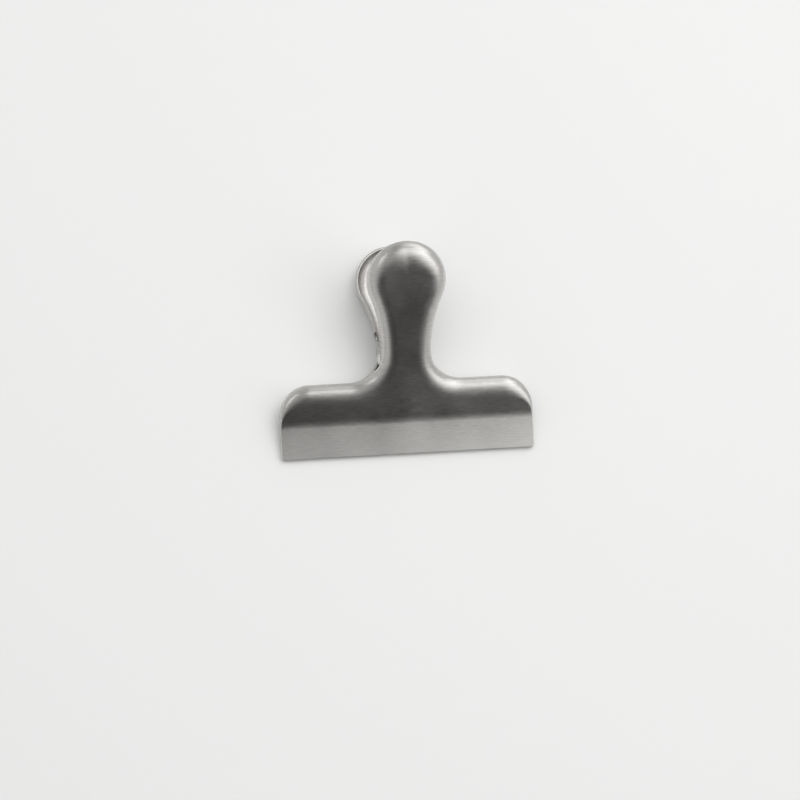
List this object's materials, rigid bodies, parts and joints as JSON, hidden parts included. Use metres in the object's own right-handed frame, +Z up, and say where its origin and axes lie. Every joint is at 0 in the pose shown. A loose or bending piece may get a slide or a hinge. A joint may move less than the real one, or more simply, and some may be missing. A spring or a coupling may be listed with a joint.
{
  "type": "bag clip",
  "caption": "Wide sprung metal clip that pinches a bag shut between two straight jaws when its round-ended handles are let go.",
  "frame": {"origin": "under the middle of the clip as it lies on its lower plate, on the surface it lies on", "axes": "+X along the jaws, +Y from the jaws to the handles, +Z up"},
  "size_m": [0.076, 0.0642, 0.0315],
  "materials": {
    "plate_steel": "brushed along the jaw",
    "pin_steel": "polished rivet heads",
    "spring_steel": "bright drawn wire"
  },
  "bodies": {
    "lower": {"lower_jaw": "plate_steel", "hinge_pin": "pin_steel", "torsion_spring": "spring_steel"},
    "upper": {"upper_jaw": "plate_steel"}
  },
  "joints": [
    {"name": "jaw_hinge", "type": "hinge", "parent": "lower", "child": "upper", "pos_m": [0, -0.0044, 0.00809], "axis": [-1, 0, 0], "range_deg": [0, 40], "stiffness_Nm_per_rad": 0.35, "springref_deg": -57.3, "deforming": ["torsion_spring"]}
  ]
}
